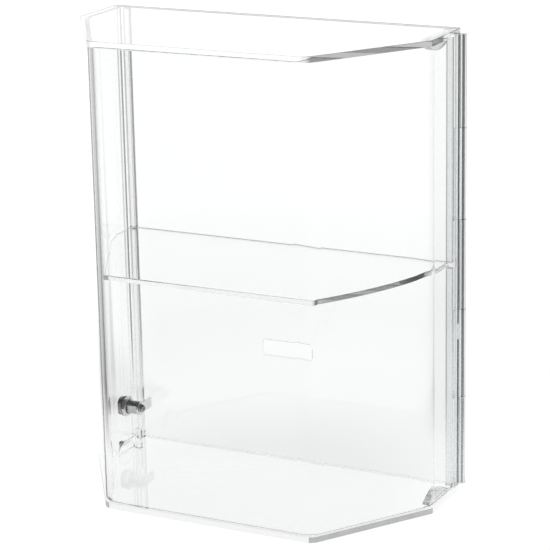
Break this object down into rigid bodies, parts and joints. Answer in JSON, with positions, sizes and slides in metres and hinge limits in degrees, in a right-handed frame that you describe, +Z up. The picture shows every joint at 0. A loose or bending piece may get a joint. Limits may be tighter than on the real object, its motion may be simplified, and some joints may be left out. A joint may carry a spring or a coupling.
{
  "type": "donation box",
  "caption": "Tall clear acrylic box with a bay-shaped swinging front, a middle shelf, a slot in the flat back and a cam lock low on one side.",
  "frame": {"origin": "centre of the base plate's underside", "axes": "+Z up, +X to the right seen from the front, -Y towards the bay-shaped front, +Y towards the flat back"},
  "size_m": [0.3832, 0.1937, 0.47],
  "materials": {
    "clear_acrylic": "clear cast acrylic sheet, glossy faces, polished edges",
    "clear_hinge": "clear moulded hinge plastic, slightly greyer than the sheet",
    "steel_pin": "bright drawn rod",
    "nickel_plate": "nickel-plated, glossy with turned marks",
    "zinc_plate": "satin zinc plate",
    "dark_steel": "darkened steel, glossy"
  },
  "bodies": {
    "case": {"base_plate": "clear_acrylic", "top_plate": "clear_acrylic", "back_panel": "clear_acrylic", "middle_shelf": "clear_acrylic", "lug_base_left": "clear_acrylic", "lug_base_right": "clear_acrylic", "lug_top_right": "clear_acrylic", "stile_left_lower": "clear_acrylic", "stile_left_upper": "clear_acrylic", "stile_right_lower": "clear_acrylic", "stile_right_upper": "clear_acrylic", "hinge_leaf_back": "clear_hinge", "hinge_pin": "steel_pin", "lock_keeper": "clear_acrylic"},
    "cover": {"front_cover": "clear_acrylic", "hinge_leaf_cover": "clear_hinge", "lock_housing": "nickel_plate", "lock_washer": "nickel_plate", "lock_nut": "nickel_plate"},
    "lock_core": {"lock_plug": "zinc_plate", "lock_cam": "zinc_plate", "cam_washer": "zinc_plate", "cam_screw": "dark_steel"}
  },
  "joints": [
    {"name": "cover_hinge", "type": "hinge", "parent": "case", "child": "cover", "pos_m": [0.1905, 0.097, 0.235], "axis": [0, 0, 1], "range_deg": [0, 120]},
    {"name": "lock_turn", "type": "hinge", "parent": "cover", "child": "lock_core", "pos_m": [-0.1845, 0.0645, 0.0475], "axis": [-1, 0, 0], "range_deg": [0, 90]}
  ]
}
